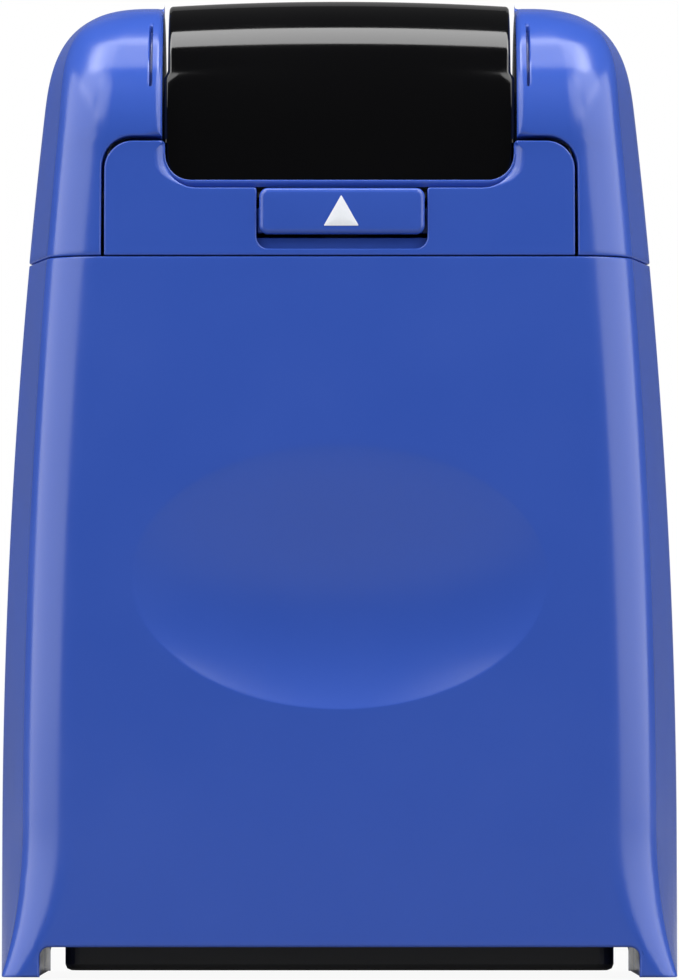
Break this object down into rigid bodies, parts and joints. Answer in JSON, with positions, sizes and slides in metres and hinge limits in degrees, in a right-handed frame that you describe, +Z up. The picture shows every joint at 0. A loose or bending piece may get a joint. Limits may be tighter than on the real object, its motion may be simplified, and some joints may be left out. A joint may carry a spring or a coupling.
{
  "type": "privacy roller stamp",
  "caption": "Hand-held privacy roller stamp: tapered two-shell handle with thumb rest, flip-up hood with dark visor over an inked pattern roller, push-button latch.",
  "frame": {"origin": "on the surface the feet stand on, under the middle of the handle", "axes": "+Z up the handle towards the roller, the front with the button faces -Y, +X to the right as seen from the front"},
  "size_m": [0.0554, 0.032, 0.08],
  "materials": {
    "front_shell": "satin moulded blue ABS",
    "rear_shell": "satin moulded blue ABS",
    "front_panel": "satin moulded blue ABS",
    "rear_panel": "satin moulded blue ABS",
    "hood": "satin moulded blue ABS",
    "release_button": "satin moulded blue POM",
    "chassis": "moulded blue ABS",
    "visor": "polished black polycarbonate",
    "base_plug": "moulded black ABS",
    "cartridge_frame": "moulded black POM",
    "print_core": "moulded natural POM",
    "print_sleeve": "inked pattern rubber",
    "print_axle": "ground steel",
    "ink_core": "moulded natural POM",
    "ink_felt": "felt soaked in black ink",
    "ink_axle": "ground steel",
    "hinge_pin": "ground steel",
    "button_spring": "spring wire",
    "screw": "zinc-plated steel"
  },
  "bodies": {
    "handle": {"front_shell": "front_shell", "rear_shell": "rear_shell", "front_panel": "front_panel", "rear_panel": "rear_panel", "chassis": "chassis", "base_plug": "base_plug", "cartridge_frame": "cartridge_frame", "print_axle": "print_axle", "ink_axle": "ink_axle", "hinge_pin": "hinge_pin", "button_spring": "button_spring", "screw_upper_left": "screw", "screw_upper_right": "screw", "screw_lower_left": "screw", "screw_lower_right": "screw"},
    "hood": {"hood": "hood", "visor": "visor"},
    "print_roller": {"print_core": "print_core", "print_sleeve": "print_sleeve"},
    "ink_roller": {"ink_core": "ink_core", "ink_felt": "ink_felt"},
    "button": {"release_button": "release_button"}
  },
  "joints": [
    {"name": "hood_hinge", "type": "hinge", "parent": "handle", "child": "hood", "pos_m": [0, 0.0136, 0.065], "axis": [-1, 0, 0], "range_deg": [0, 150]},
    {"name": "print_spin", "type": "hinge", "parent": "handle", "child": "print_roller", "pos_m": [0, 0, 0.068], "axis": [1, 0, 0], "continuous": true},
    {"name": "ink_spin", "type": "hinge", "parent": "handle", "child": "ink_roller", "pos_m": [0, 0, 0.0543], "axis": [1, 0, 0], "continuous": true},
    {"name": "button_press", "type": "slide", "parent": "handle", "child": "button", "axis": [0, 1, 0], "range_m": [0, 0.0007], "stiffness_N_per_m": 400, "springref_m": -0.001, "deforming": ["button_spring"]}
  ],
  "couplings": [
    {"joint": "ink_spin", "follows": "print_spin", "ratio": -2.7222}
  ]
}
